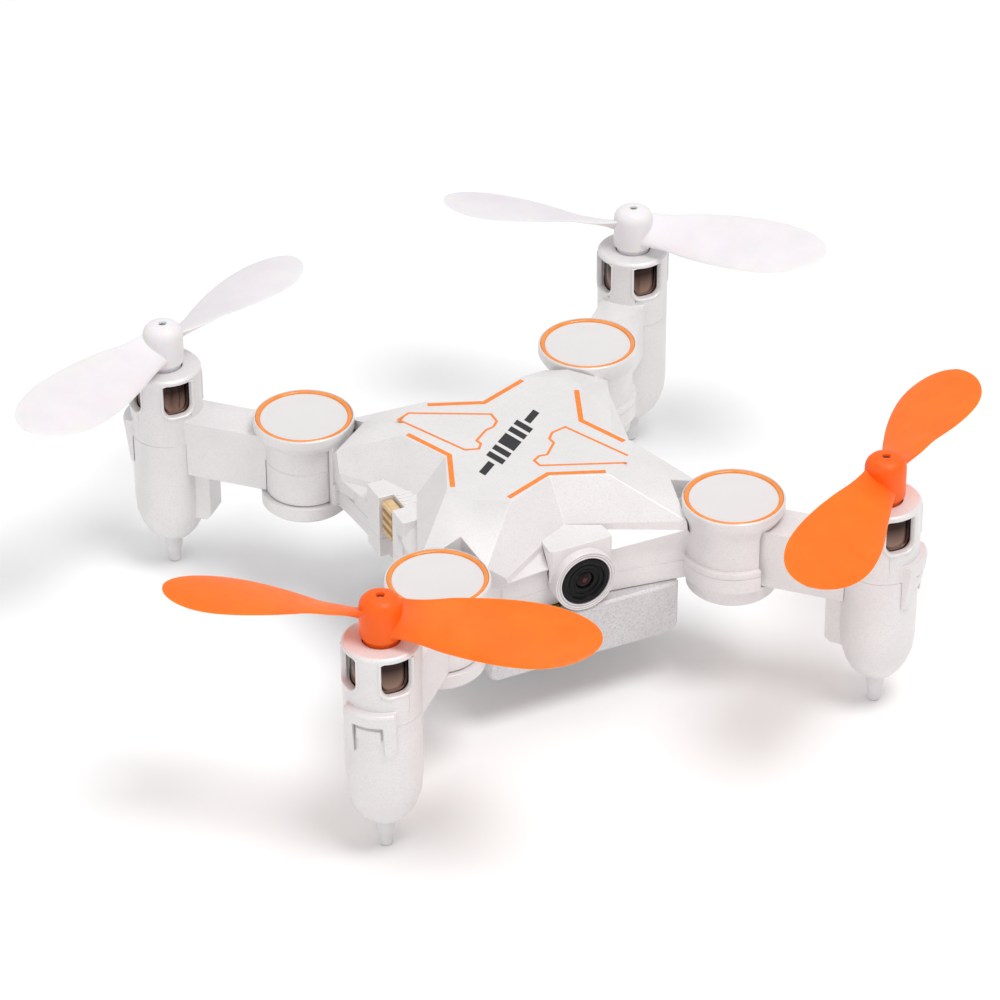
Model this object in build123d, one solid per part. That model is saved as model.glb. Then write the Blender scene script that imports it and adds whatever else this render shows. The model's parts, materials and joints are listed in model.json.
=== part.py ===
from build123d import *
import math
import os

# A folding palm-sized camera quadcopter, standing on its four foot pins.
# Millimetres, +Z up, the camera looks along -Y, the origin is on the ground midway between the feet.
# Left (-X) and right (+X) are those of a person who faces the camera.

os.makedirs("parts", exist_ok=True)

# ---- driving dimensions ----
RING_Z = 25.0  # plane of the four hinge discs above the ground
PIVOT = 19.2  # x and y of each hinge axis
MOTOR = 32.0  # x and y of each motor axis with the arms unfolded
ARM_LENGTH = (MOTOR - PIVOT) * math.sqrt(2)
RUNNING = 0.05  # radial clearance of a turning fit
GAP = 0.15  # clearance between a knuckle and the shells around it

DECK_Z = RING_Z + 2.5
SEAM_Z = RING_Z - 7.9  # joint between the two body shells
FLOOR_Z = RING_Z - 10.4  # underside of the lower shell
CAMERA_Z = RING_Z - 6.56
CAMERA_Y = -18.76
WALL = 1.1
WALL_SIDE = 16.3  # the vertical walls: middle of a side, its closed end and its open end
WALL_CLOSED = (18.4, 15.0)
WALL_OPEN = (9.8, 16.9)
# corners of the outer skin over one quarter of the body, heights from the plane of the discs
SKIN = {
    "deck_side": (9.2, 0, 2.5),
    "deck_closed": (12.0, 6.44, 2.5),
    "deck_corner": (10.0, 10.0, 2.5),
    "deck_open": (6.44, 12.0, 2.5),
    "valley": (13.1, 0, -2.0),
    "valley_under": (13.2, 0, -2.6),
    "roof_closed": (18.95, 13.2, -1.95),
    "roof_under": (19.0, 13.3, -3.1),
    "roof_corner": (13.7, 13.7, 0.7),
    "roof_open": (12.4, 18.0, -1.5),
    "lip": (10.2, 18.6, -3.25),
    "lip_under": (9.95, 18.5, -4.1),
    "wall_side": (WALL_SIDE, 0, -5.0),
    "wall_closed": (*WALL_CLOSED, -6.1),
    "wall_open": (*WALL_OPEN, -5.75),
}
# step between a roof and its disc
SHELF = ((18.6, 13.9), (13.0, 13.0), (9.5, 16.5), (12.8, 17.3), (PIVOT, PIVOT))
SHELF_Z = RING_Z - 2.6
INNER_PLAN, INNER_HINGE_PLAN, INNER_DROP = 0.9, 0.78, 1.3  # the cavity against the outer skin

DISC_R = 6.15
DISC_RIM = 1.2
DISC_EDGE = 0.15
RING_OUTER_R = 5.9
RING_INNER_R = 5.33
RING_DEPTH = 0.6
RING_CHAMFER = 0.12
CAP_RECESS = 0.2
KNUCKLE_R = 4.85
KNUCKLE_TOP = RING_Z - 2.3
KNUCKLE_BOTTOM = RING_Z - 10.0
COLUMN_R = 5.6  # closed wall of a hinge
COLUMN_TOP = RING_Z - 3.0
FLANGE_R = 6.1
FLANGE_TOP, FLANGE_BOTTOM = SEAM_Z + 0.85, RING_Z - 9.9
PLATE_R = 5.45
PLATE_Z = RING_Z - 12.2
PLATE_CHAMFER = 0.4
POST_R = 1.6
ROOM_R = 6.4
WALL_START, WALL_END = 147, 321  # closed side of each hinge, degrees from its unfolded arm
SWING_R, SWING_END = 11.0, 138  # room that a folded arm needs away from its knuckle

ARM_HALF = 2.75
BEAM_FLOOR_HALF, BEAM_FLOOR = 2.0, 1.0  # floor plate between the side walls of the beam
ARM_SEAM = RING_Z - 5.6  # joint between the halves of each arm
POD_R = 4.45
POD_TOP = RING_Z + 3.7
POD_ROOF = 0.8
POD_CHAMFER = 0.3
POD_BORE = 3.6
POD_MOUTH = 2.2
CUP_Z = RING_Z - 14.6  # where the cup starts to taper
DOME = (
    (4.28, RING_Z - 16.7),
    (3.72, RING_Z - 18.45),
    (3.18, RING_Z - 19.5),
    (2.4, RING_Z - 20.45),
    (1.5, RING_Z - 21.0),
)
WINDOW = 3.9
WINDOW_TOP, WINDOW_BOTTOM = RING_Z + 3.05, RING_Z - 1.4
SNAP_OUT, SNAP_THIN = 0.95, 0.3  # snap loop beyond the pod, at its top and at its end
SNAP_HALF, SNAP_TOP, SNAP_END = 3.0, RING_Z - 3.4, RING_Z - 9.4
SNAP_OPENING, SNAP_OPENING_TOP = 1.85, RING_Z - 5.1
BAR_HALF, BAR_OUT = 1.5, 0.4
BAR_TOP, BAR_BOTTOM = RING_Z - 5.75, RING_Z - 7.2
DUCT_OUT, DUCT_HALF = 6.0, 1.7  # lead duct: reach from the motor axis and half width
DUCT_BOTTOM, DUCT_CHAMFER = RING_Z - 16.9, 0.7
FOOT_R, FOOT_TIP_R, FOOT_PEG_R = 1.07, 0.85, 0.8
FOOT_TOP = RING_Z - 21.0

LEAD_DROP, LEAD_END = 4.5, RING_Z - 15.6  # where the leads drop beside the can, and their lower end

CAN_R, CAN_STEP_R = 3.5, 2.95
CAN_STEP_Z = RING_Z - 15.2
CAN_TOP, CAN_BOTTOM = RING_Z + 2.6, RING_Z - 16.6
SHAFT_R = 0.5
SHAFT_TOP, SHAFT_BOTTOM = RING_Z + 9.2, RING_Z - 14.0

HUB_R, HUB_NECK_R = 2.45, 2.05
HUB_TOP, HUB_SHOULDER, HUB_BOTTOM = RING_Z + 9.57, RING_Z + 4.0, RING_Z + 3.0
BLADE_R = 25.0
BLADE_Z = RING_Z + 6.6
BLADE_THICK = 0.8

BATTERY_X, BATTERY_Y = 12.5, 18.7
BATTERY_TOP, BATTERY_BOTTOM = FLOOR_Z - 0.1, RING_Z - 17.6
BATTERY_WALL = 1.0
CONTACT = (2.0, 4.0, -17.0, -15.0)  # x and y reach of the right contact
TONGUE_X, TONGUE_HIGH = 5.0, 1.0
TONGUE_Y0, TONGUE_Y1 = -9.5, 14.0

BOARD_HALF = 11.0
BOARD_Z, BOARD_THICK = SEAM_Z - 0.8, 0.8
SCREW_AT, SCREW_R = 8.0, 0.6
HINGE_HEAD_R, SHELL_HEAD_R, HEAD_HIGH = 1.2, 1.3, 0.6
HINGE_SCREW_TOP, SHELL_SCREW_TOP = RING_Z - 4.0, RING_Z - 2.5
POST_OUTER_R = 1.4

HOOD = ((0, -13.1), (3.95, -15.0), (4.1, -17.4), (3.7, -17.75))  # half plan of the camera hood
HOOD_Z = RING_Z - 2.0
NOSE_R, BEZEL_R, BARREL_R = 3.9, 3.55, 3.13
NOSE_BACK, BEZEL_DEEP = -13.5, 0.3

PORT_Z = RING_Z - 1.95  # top of the blocks around the plug notch
PORT_REAR = (-17.3, 4.9)
PORT_FRONT = (-17.0, -4.7)
PORT_BACK, PORT_INSIDE = -15.35, -12.5
SLOT_Y0, SLOT_Y1 = -1.6, 1.5  # plug notch in the left wall
PLUG_X0, PLUG_X1 = -17.0, -8.5
PLUG_NECK = -15.6  # where the head of the plug ends
PLUG_Y0, PLUG_Y1 = -1.45, 1.3
PLUG_Z0, PLUG_Z1, PLUG_NECK_Z = RING_Z - 6.7, RING_Z - 2.45, RING_Z - 3.3

# hinge name: place of its axis and direction of its unfolded arm
ARMS = {
    "fl": (-PIVOT, -PIVOT, 225),
    "fr": (PIVOT, -PIVOT, 315),
    "bl": (-PIVOT, PIVOT, 135),
    "br": (PIVOT, PIVOT, 45),
}
# propeller: direction of one blade at rest, and which way it turns (1 is anticlockwise from above)
ROTORS = {"fl": (-38.6, 1), "fr": (39.5, -1), "bl": (27.4, -1), "br": (-42.2, 1)}

LOW = (Align.CENTER, Align.CENTER, Align.MIN)


# ---- helpers ----
def cylinder(radius, z0, z1, x=0, y=0):
    return Pos(x, y, z0) * Cylinder(radius, z1 - z0, align=LOW)


def block(x0, x1, y0, y1, z0, z1):
    return Pos((x0 + x1) / 2, (y0 + y1) / 2, z0) * Box(x1 - x0, y1 - y0, z1 - z0, align=LOW)


def turned(*profile):
    """A solid turned about Z from (radius, height) points."""
    return revolve(Plane.XZ * make_face(Polyline(*profile, close=True)), Axis.Z)


def prism(points, z0, z1):
    return extrude(Pos(0, 0, z0) * make_face(Polyline(*points, close=True)), amount=z1 - z0)


def sector(radius, start, end, z0, z1):
    """A slice of a disc about Z, between two directions in degrees."""
    steps = [start + (end - start) * i / 4 for i in range(5)]
    reach = radius / math.cos(math.radians((end - start) / 8))
    rim = [(reach * math.cos(math.radians(a)), reach * math.sin(math.radians(a))) for a in steps]
    return prism([(0, 0)] + rim, z0, z1) & cylinder(radius, z0, z1)


def along_y(radius, y0, y1, z):
    """A cylinder that lies along Y at height z."""
    return Pos(0, y1, z) * Rot(90, 0, 0) * Cylinder(radius, y1 - y0, align=LOW)


def at_hinge(name, solid):
    x, y, angle = ARMS[name]
    return Pos(x, y, 0) * Rot(0, 0, angle) * solid


def polyhedron(triangles):
    return Solid(Shell([Face(Wire.make_polygon([Vector(*p) for p in t])) for t in triangles]))


# ---- body shells ----
def quarter(plan, hinge_plan, drop):
    """Corners of the skin: the body scaled by plan, the parts near the hinges by hinge_plan, all lowered."""
    near_hinge = ("roof_closed", "roof_under", "roof_corner", "roof_open", "lip", "lip_under")
    points = {}
    for key, (x, y, z) in SKIN.items():
        scale = hinge_plan if key in near_hinge else plan
        points[key] = (x * scale, y * scale, RING_Z + z - drop)
    return points


def core(plan, hinge_plan, drop, floor):
    """The faceted body between the hinges: a cross-shaped deck, four sloping roofs and four valleys."""
    triangles, deck, base = [], [], []
    for turn in range(4):
        spin = Rot(0, 0, 90 * turn)
        p = {k: tuple((spin * Pos(*v)).position) for k, v in quarter(plan, hinge_plan, drop).items()}
        n = {k: tuple((Rot(0, 0, 90) * Pos(*v)).position) for k, v in p.items()}
        foot = {k: (v[0], v[1], floor) for k, v in p.items()}
        next_foot = {k: (v[0], v[1], floor) for k, v in n.items()}
        deck += [p["deck_side"], p["deck_closed"], p["deck_corner"], p["deck_open"]]
        base += [foot["wall_side"], foot["wall_closed"], foot["roof_corner"], foot["wall_open"]]
        strips = [
            [p["deck_closed"], p["roof_closed"], p["roof_corner"], p["deck_corner"]],
            [p["deck_corner"], p["roof_corner"], p["roof_open"], p["deck_open"]],
            [p["deck_side"], p["valley"], p["roof_closed"], p["deck_closed"]],
            [p["valley"], p["valley_under"], p["roof_under"], p["roof_closed"]],
            [n["valley"], n["deck_side"], p["deck_open"], p["roof_open"], p["lip"]],
            [n["valley"], p["lip"], p["lip_under"], n["valley_under"]],
            [p["roof_under"], p["valley_under"], p["wall_side"], p["wall_closed"]],
            [n["wall_side"], n["valley_under"], p["lip_under"], p["wall_open"]],
            [foot["wall_closed"], p["wall_closed"], p["wall_side"], foot["wall_side"]],
            [next_foot["wall_side"], n["wall_side"], p["wall_open"], foot["wall_open"]],
            [
                foot["roof_corner"],
                p["roof_corner"],
                p["roof_closed"],
                p["roof_under"],
                p["wall_closed"],
                foot["wall_closed"],
            ],
            [
                foot["roof_corner"],
                foot["wall_open"],
                p["wall_open"],
                p["lip_under"],
                p["lip"],
                p["roof_open"],
                p["roof_corner"],
            ],
        ]
        for strip in strips:
            triangles += [[strip[0], strip[i], strip[i + 1]] for i in range(1, len(strip) - 1)]
    return polyhedron(triangles + [deck, base])


def wall_outline(scale=1.0):
    """Plan of the vertical walls, with a corner on each hinge axis."""
    corners = []
    for turn in range(4):
        spin = Rot(0, 0, 90 * turn)
        for x, y in ((WALL_SIDE, 0), WALL_CLOSED, (PIVOT, PIVOT), (13.4, 17.2), WALL_OPEN):
            grow = 1.0 if x == PIVOT else scale
            corners.append(tuple((spin * Pos(x * grow, y * grow, 0)).position)[:2])
    return corners


def hinge_upper():
    """Disc, column, flange and post of one hinge, about its own axis."""
    disc = turned(
        (0, KNUCKLE_TOP + GAP),
        (COLUMN_R, KNUCKLE_TOP + GAP),
        (DISC_R, RING_Z - DISC_RIM),
        (DISC_R, RING_Z - DISC_EDGE),
        (DISC_R - DISC_EDGE, RING_Z),
        (0, RING_Z),
    )
    column = turned(
        (0, SEAM_Z),
        (FLANGE_R, SEAM_Z),
        (FLANGE_R, FLANGE_TOP),
        (COLUMN_R, FLANGE_TOP),
        (COLUMN_R, COLUMN_TOP),
        (DISC_R, RING_Z - DISC_RIM),
        (0, RING_Z - DISC_RIM),
    )
    groove = cylinder(RING_OUTER_R, RING_Z - RING_DEPTH, RING_Z)
    knuckle_room = cylinder(KNUCKLE_R + GAP, SEAM_Z, KNUCKLE_TOP + GAP)
    column = (column & sector(DISC_R + 1, WALL_START, WALL_END, SEAM_Z, RING_Z)) - knuckle_room
    return disc + column - groove


def hinge_post():
    return cylinder(POST_R, KNUCKLE_BOTTOM - GAP, KNUCKLE_TOP + GAP + 0.1)


def hinge_lower():
    """Bottom plate and lower part of the closed wall of one hinge."""
    top = KNUCKLE_BOTTOM - GAP
    plate = turned(
        (0, PLATE_Z),
        (PLATE_R - PLATE_CHAMFER, PLATE_Z),
        (PLATE_R, PLATE_Z + PLATE_CHAMFER),
        (PLATE_R, top),
        (0, top),
    )
    rim = cylinder(PLATE_R, top - GAP, SEAM_Z) + cylinder(FLANGE_R, FLANGE_BOTTOM, SEAM_Z)
    return plate + (rim & sector(FLANGE_R + 1, WALL_START, WALL_END, PLATE_Z, SEAM_Z))


def hinge_room():
    """Room that one knuckle and its swinging arm need between the shells."""
    low, high = KNUCKLE_BOTTOM - GAP, KNUCKLE_TOP + GAP
    near = sector(ROOM_R, WALL_END - 360, WALL_START, low, high)
    swing = sector(SWING_R, WALL_END - 360, SWING_END, low, high)
    return cylinder(KNUCKLE_R + GAP, low, high) + near + swing


def camera_housing(z0, z1):
    """Hooded round nose of the camera, cut off at two heights."""
    plan = [(-x, y) for x, y in HOOD] + [(x, y) for x, y in reversed(HOOD[1:])]
    hood = prism(plan, CAMERA_Z, HOOD_Z)
    nose = along_y(NOSE_R, CAMERA_Y, NOSE_BACK, CAMERA_Z)
    nose -= along_y(BEZEL_R, CAMERA_Y, CAMERA_Y + BEZEL_DEEP, CAMERA_Z)
    return (hood + nose) & block(-6, 6, CAMERA_Y - 1, -13, z0, z1)


def port_housing(z0, z1):
    """Blocks before, behind and inside of the plug notch in the left wall."""
    rear = block(PORT_REAR[0], PORT_INSIDE, SLOT_Y1, PORT_REAR[1], z0, z1)
    front = block(PORT_FRONT[0], PORT_INSIDE, PORT_FRONT[1], SLOT_Y0, z0, z1)
    return rear + front + block(PORT_BACK, PORT_INSIDE, SLOT_Y0, SLOT_Y1, z0, z1)


CAMERA_BORE = along_y(BARREL_R + 0.02, CAMERA_Y - 1, -14.0, CAMERA_Z)
CAMERA_ROOM = block(-3.1, 3.1, -15.1, -11.0, CAMERA_Z - 2.2, CAMERA_Z + 3.2)
SOCKET_ROOM = block(-20, PORT_BACK, SLOT_Y0, SLOT_Y1, FLOOR_Z, RING_Z)
SOCKET_ROOM += block(PORT_BACK, PLUG_X1 + GAP, SLOT_Y0, SLOT_Y1, PLUG_Z0 - GAP, PLUG_NECK_Z + GAP)


def upper_shell():
    shell = core(1, 1, 0, SEAM_Z)
    for turn in range(4):
        shell += Rot(0, 0, 90 * turn) * prism(SHELF, SEAM_Z, SHELF_Z)
    for name in ARMS:
        shell += at_hinge(name, hinge_upper())
    shell += camera_housing(CAMERA_Z, RING_Z) + port_housing(SEAM_Z, PORT_Z)
    cavity = core(INNER_PLAN, INNER_HINGE_PLAN, INNER_DROP, SEAM_Z)
    for sx in (-1, 1):
        for sy in (-1, 1):
            cavity -= cylinder(POST_OUTER_R, SEAM_Z, DECK_Z, sx * SCREW_AT, sy * SCREW_AT)
    shell -= cavity
    for sx in (-1, 1):
        for sy in (-1, 1):
            shell -= cylinder(SCREW_R, SEAM_Z, SHELL_SCREW_TOP, sx * SCREW_AT, sy * SCREW_AT)
    for name in ARMS:
        shell -= at_hinge(name, hinge_room() + cylinder(RING_OUTER_R, RING_Z - RING_DEPTH, RING_Z + 1))
        shell += at_hinge(name, hinge_post())
        shell -= at_hinge(name, cylinder(SCREW_R, PLATE_Z, HINGE_SCREW_TOP))
    shell -= camera_housing(SEAM_Z, CAMERA_Z)
    return shell - CAMERA_BORE - CAMERA_ROOM - SOCKET_ROOM


def lower_shell():
    shell = prism(wall_outline(), FLOOR_Z, SEAM_Z)
    room = prism(wall_outline(INNER_PLAN), FLOOR_Z + WALL, SEAM_Z)
    for name in ARMS:
        room -= at_hinge(name, cylinder(7.5, FLOOR_Z, SEAM_Z))
    shell -= room
    for name in ARMS:
        shell += at_hinge(name, hinge_lower())
    shell += camera_housing(FLOOR_Z, CAMERA_Z) + port_housing(FLOOR_Z, SEAM_Z)
    for sx in (-1, 1):
        for sy in (-1, 1):
            x, y = sx * SCREW_AT, sy * SCREW_AT
            shell += cylinder(POST_OUTER_R, FLOOR_Z + WALL, BOARD_Z, x, y)
            shell -= cylinder(SCREW_R, FLOOR_Z, BOARD_Z, x, y)
            shell -= cylinder(SHELL_HEAD_R, FLOOR_Z, FLOOR_Z + HEAD_HIGH, x, y)
    for name in ARMS:
        shell -= at_hinge(name, hinge_room())
        shell -= at_hinge(name, cylinder(POST_R, KNUCKLE_BOTTOM - GAP, SEAM_Z))
        shell -= at_hinge(name, cylinder(SCREW_R, PLATE_Z, SEAM_Z))
        shell -= at_hinge(name, cylinder(HINGE_HEAD_R, PLATE_Z, PLATE_Z + HEAD_HIGH))
    channel_top = FLOOR_Z + TONGUE_HIGH + GAP
    start = TONGUE_Y0 - GAP
    shell += block(-TONGUE_X - 1, TONGUE_X + 1, start - 1, TONGUE_Y1 + 0.5, FLOOR_Z, channel_top + 0.45)
    shell -= block(-TONGUE_X + 0.6, TONGUE_X - 0.6, start, 18, FLOOR_Z, channel_top)
    shell -= block(-TONGUE_X - GAP, TONGUE_X + GAP, start, 18, FLOOR_Z + 0.5, channel_top)
    return shell - CAMERA_BORE - CAMERA_ROOM - SOCKET_ROOM


def hinge_cap():
    """White disc set just below the rim inside the coloured ring."""
    return cylinder(RING_INNER_R, RING_Z - RING_DEPTH, RING_Z - CAP_RECESS)


def hinge_ring():
    ring = cylinder(RING_OUTER_R, RING_Z - RING_DEPTH, RING_Z)
    ring -= cylinder(RING_INNER_R, RING_Z - 1, RING_Z + 1)
    return chamfer(ring.edges().group_by(Axis.Z)[-1], RING_CHAMFER)


def screw(head_r, z0, z1, x, y):
    """A countersunk cross-head screw that points up."""
    body = cylinder(SCREW_R, z0, z1, x, y) + cylinder(head_r, z0, z0 + HEAD_HIGH, x, y)
    for turn in (0, 90):
        body -= Pos(x, y, z0) * Rot(0, 0, turn) * Box(head_r * 1.3, 0.3, 0.5)
    return body


def hinge_screws():
    return Compound([screw(HINGE_HEAD_R, PLATE_Z, HINGE_SCREW_TOP, x, y) for x, y, _ in ARMS.values()])


def shell_screws():
    at = (-SCREW_AT, SCREW_AT)
    return Compound([screw(SHELL_HEAD_R, FLOOR_Z, SHELL_SCREW_TOP, x, y) for x in at for y in at])


# ---- electronics in the body ----
def main_board():
    board = prism(
        [(-BOARD_HALF, -9), (-9, -BOARD_HALF), (9, -BOARD_HALF), (BOARD_HALF, -9)]
        + [(BOARD_HALF, 9), (9, BOARD_HALF), (-9, BOARD_HALF), (-BOARD_HALF, 9)],
        BOARD_Z,
        BOARD_Z + BOARD_THICK,
    )
    for sx in (-1, 1):
        for sy in (-1, 1):
            board -= cylinder(SCREW_R + RUNNING, BOARD_Z - 1, BOARD_Z + 2, sx * SCREW_AT, sy * SCREW_AT)
    return board - block(-3.1, 3.1, -BOARD_HALF - 1, -10.6, BOARD_Z - 1, BOARD_Z + 2)


def board_chips():
    """Processor, motion sensor and the four motor transistors."""
    top = BOARD_Z + BOARD_THICK
    chips = [block(-3, 3, -2, 4, top, top + 0.9), block(4.2, 7.2, -1.5, 1.5, top, top + 0.8)]
    for sx in (-1, 1):
        for sy in (-1, 1):
            chips.append(Pos(sx * 4.6, sy * 8.6, 0) * block(-1.4, 1.4, -0.7, 0.7, top, top + 1.0))
    return Compound(chips)


def antenna():
    """Bent wire aerial beside the rear edge of the board."""
    top = BOARD_Z + BOARD_THICK
    x, y, high = 4.0, 9.8, top + 2.0
    path = FilletPolyline((-x, 5, top), (-x, 5, high), (-x, y, high), (x, y, high), radius=0.8)
    return sweep(Plane(origin=path @ 0, z_dir=path % 0) * Circle(0.3), path)


def charge_socket():
    """Nylon shell of the two-pin battery plug in the left notch, with level ridges on its face."""
    socket = block(PLUG_X0, PLUG_NECK, PLUG_Y0, PLUG_Y1, PLUG_Z0, PLUG_Z1)
    socket += block(PLUG_NECK, PLUG_X1, PLUG_Y0, PLUG_Y1, PLUG_Z0, PLUG_NECK_Z)
    for i in range(3):
        z = PLUG_Z0 + 0.7 + i * 1.1
        socket -= block(PLUG_X0 - 1, PLUG_X0 + 0.25, SLOT_Y0, SLOT_Y1, z, z + 0.35)
    return socket


def camera_barrel():
    """Black ring with two steps down to the lens."""
    barrel = along_y(BARREL_R, CAMERA_Y - 0.15, -15.0, CAMERA_Z)
    barrel -= along_y(2.55, CAMERA_Y - 1, CAMERA_Y + 0.35, CAMERA_Z)
    barrel -= along_y(2.0, CAMERA_Y - 1, CAMERA_Y + 1.0, CAMERA_Z)
    return barrel - along_y(1.5, CAMERA_Y, -14, CAMERA_Z)


def camera_lens():
    """Front glass, bulging forwards, with a stem in the barrel."""
    glass = along_y(1.98, CAMERA_Y + 0.3, CAMERA_Y + 1.0, CAMERA_Z)
    radius = 3.6
    ball = Pos(0, CAMERA_Y + 0.25 + radius, CAMERA_Z) * Sphere(radius)
    return (glass & ball) + along_y(1.5, CAMERA_Y + 0.9, -16.5, CAMERA_Z)


def camera_module():
    """Sensor block behind the barrel, on the front edge of the board."""
    return block(-3.0, 3.0, -15.0, -11.2, CAMERA_Z - 2.0, CAMERA_Z + 3.0)


# ---- battery ----
def contacts(z0, z1):
    """Two tabs, or the slots for them, between two heights."""
    x0, x1, y0, y1 = CONTACT
    return Compound([block(x0, x1, y0, y1, z0, z1), block(-x1, -x0, y0, y1, z0, z1)])


def battery_case():
    case = block(-BATTERY_X, BATTERY_X, -BATTERY_Y, BATTERY_Y, BATTERY_BOTTOM, BATTERY_TOP)
    low = case.edges().filter_by(Axis.Y).group_by(Axis.Z)[0]
    case = fillet(low, 1.5)
    case = chamfer(case.faces().sort_by(Axis.Y)[0].edges(), 0.35)
    top = FLOOR_Z + TONGUE_HIGH
    case += block(-TONGUE_X + 0.8, TONGUE_X - 0.8, TONGUE_Y0, TONGUE_Y1, BATTERY_TOP, top)
    case += block(-TONGUE_X, TONGUE_X, TONGUE_Y0, TONGUE_Y1, FLOOR_Z + 0.65, top)
    x, y = BATTERY_X - BATTERY_WALL, BATTERY_Y - BATTERY_WALL
    case -= block(-x, x, -y, y, BATTERY_BOTTOM + BATTERY_WALL, BATTERY_TOP - BATTERY_WALL)
    return case - contacts(BATTERY_TOP - BATTERY_WALL, BATTERY_TOP)


def battery_cell():
    cell = block(-11.2, 11.2, -17.0, 17.0, BATTERY_BOTTOM + 1.0, BATTERY_TOP - 1.3)
    return fillet(cell.edges().filter_by(Axis.Y), 1.2)


def battery_contacts():
    """Two brass tabs in slots through the top of the case."""
    return contacts(BATTERY_TOP - 1.2, BATTERY_TOP - 0.05)


# ---- arms, each about its hinge axis and along +X ----
def arm_upper():
    """Upper half: knuckle, beam and the windowed motor holder with its snap loop."""
    arm = cylinder(KNUCKLE_R, ARM_SEAM, KNUCKLE_TOP)
    arm += block(0, ARM_LENGTH, -ARM_HALF, ARM_HALF, ARM_SEAM, KNUCKLE_TOP)
    sides = block(0, ARM_LENGTH, -ARM_HALF, ARM_HALF, KNUCKLE_BOTTOM, ARM_SEAM)
    sides -= block(0, ARM_LENGTH, -BEAM_FLOOR_HALF, BEAM_FLOOR_HALF, KNUCKLE_BOTTOM, ARM_SEAM)
    sides -= cylinder(KNUCKLE_R + RUNNING, KNUCKLE_BOTTOM, ARM_SEAM)
    sides -= cylinder(POD_R + RUNNING, KNUCKLE_BOTTOM, ARM_SEAM, ARM_LENGTH)
    arm += sides
    loop = turned(
        (POD_R - 0.4, SNAP_TOP),
        (POD_R + SNAP_OUT - 0.25, SNAP_TOP),
        (POD_R + SNAP_OUT, SNAP_TOP - 0.3),
        (POD_R + SNAP_THIN, SNAP_END),
        (POD_R + RUNNING, SNAP_END),
        (POD_R + RUNNING, ARM_SEAM),
        (POD_R - 0.4, ARM_SEAM),
    )
    loop &= block(0, POD_R + 2, -SNAP_HALF, SNAP_HALF, SNAP_END, SNAP_TOP)
    loop -= block(0, POD_R + 2, -SNAP_OPENING, SNAP_OPENING, SNAP_END - 1, SNAP_OPENING_TOP)
    pod = turned(
        (0, ARM_SEAM),
        (POD_R, ARM_SEAM),
        (POD_R, POD_TOP - POD_CHAMFER),
        (POD_R - POD_CHAMFER, POD_TOP),
        (0, POD_TOP),
    )
    arm += Pos(ARM_LENGTH, 0, 0) * (pod + loop)
    room = cylinder(POD_BORE, ARM_SEAM - 1, POD_TOP - POD_ROOF)
    room += cylinder(POD_MOUTH, RING_Z, POD_TOP + 1)
    for turn in range(4):
        tall = block(POD_BORE - 0.5, POD_R + 1, -WINDOW / 2, WINDOW / 2, WINDOW_BOTTOM, WINDOW_TOP)
        low_edges = tall.edges().filter_by(Axis.X).group_by(Axis.Z)[0]
        room += Rot(0, 0, 45 + 90 * turn) * fillet(low_edges, 1.2)
    arm -= Pos(ARM_LENGTH, 0, 0) * room
    arm -= cylinder(POST_R + RUNNING, ARM_SEAM - 1, RING_Z)
    return arm - block(4.0, ARM_LENGTH - 3.4, -1.6, 1.6, ARM_SEAM, KNUCKLE_TOP - 1)


def arm_lower():
    """Lower half: knuckle, beam, domed motor cup, lead duct and the bar of the snap."""
    arm = cylinder(KNUCKLE_R, KNUCKLE_BOTTOM, ARM_SEAM)
    half = BEAM_FLOOR_HALF - RUNNING
    arm += block(0, ARM_LENGTH, -half, half, KNUCKLE_BOTTOM, KNUCKLE_BOTTOM + BEAM_FLOOR)
    cup = turned((0, FOOT_TOP), *reversed(DOME), (POD_R, CUP_Z), (POD_R, ARM_SEAM), (0, ARM_SEAM))
    duct = block(-DUCT_OUT, -3, -DUCT_HALF, DUCT_HALF, DUCT_BOTTOM, KNUCKLE_BOTTOM)
    duct = chamfer(duct.faces().sort_by(Axis.X)[0].edges().sort_by(Axis.Z)[0], DUCT_CHAMFER)
    bar = cylinder(POD_R + BAR_OUT, BAR_BOTTOM, BAR_TOP)
    bar &= block(0, POD_R + 2, -BAR_HALF, BAR_HALF, BAR_BOTTOM, BAR_TOP)
    arm += Pos(ARM_LENGTH, 0, 0) * (cup + duct + bar)
    room = cylinder(POD_BORE, CAN_STEP_Z, ARM_SEAM)
    room += cylinder(CAN_STEP_R + RUNNING, CAN_BOTTOM - 1, ARM_SEAM)
    arm -= Pos(ARM_LENGTH, 0, 0) * room
    arm -= Pos(ARM_LENGTH, 0, 0) * cylinder(FOOT_PEG_R, FOOT_TOP - 1, FOOT_TOP + 1.8)
    arm -= cylinder(POST_R + RUNNING, PLATE_Z, RING_Z)
    arm -= block(4.0, ARM_LENGTH - 3.4, -1.6, 1.6, KNUCKLE_BOTTOM + BEAM_FLOOR, ARM_SEAM)
    return arm - block(ARM_LENGTH - 5.3, ARM_LENGTH - 3.4, -1.0, 1.0, RING_Z - 16.1, ARM_SEAM)


def motor_can():
    can = turned(
        (0, CAN_BOTTOM),
        (CAN_STEP_R, CAN_BOTTOM),
        (CAN_STEP_R, CAN_STEP_Z),
        (CAN_R, CAN_STEP_Z),
        (CAN_R, CAN_TOP - 0.4),
        (CAN_R - 0.4, CAN_TOP),
        (1.3, CAN_TOP),
        (1.3, CAN_TOP + 0.25),
        (0, CAN_TOP + 0.25),
    )
    return Pos(ARM_LENGTH, 0, 0) * (can - cylinder(SHAFT_R + RUNNING, SHAFT_BOTTOM - 0.2, POD_TOP))


def motor_end_cap():
    return cylinder(2.7, CAN_BOTTOM - 0.8, CAN_BOTTOM, ARM_LENGTH, 0)


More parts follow.
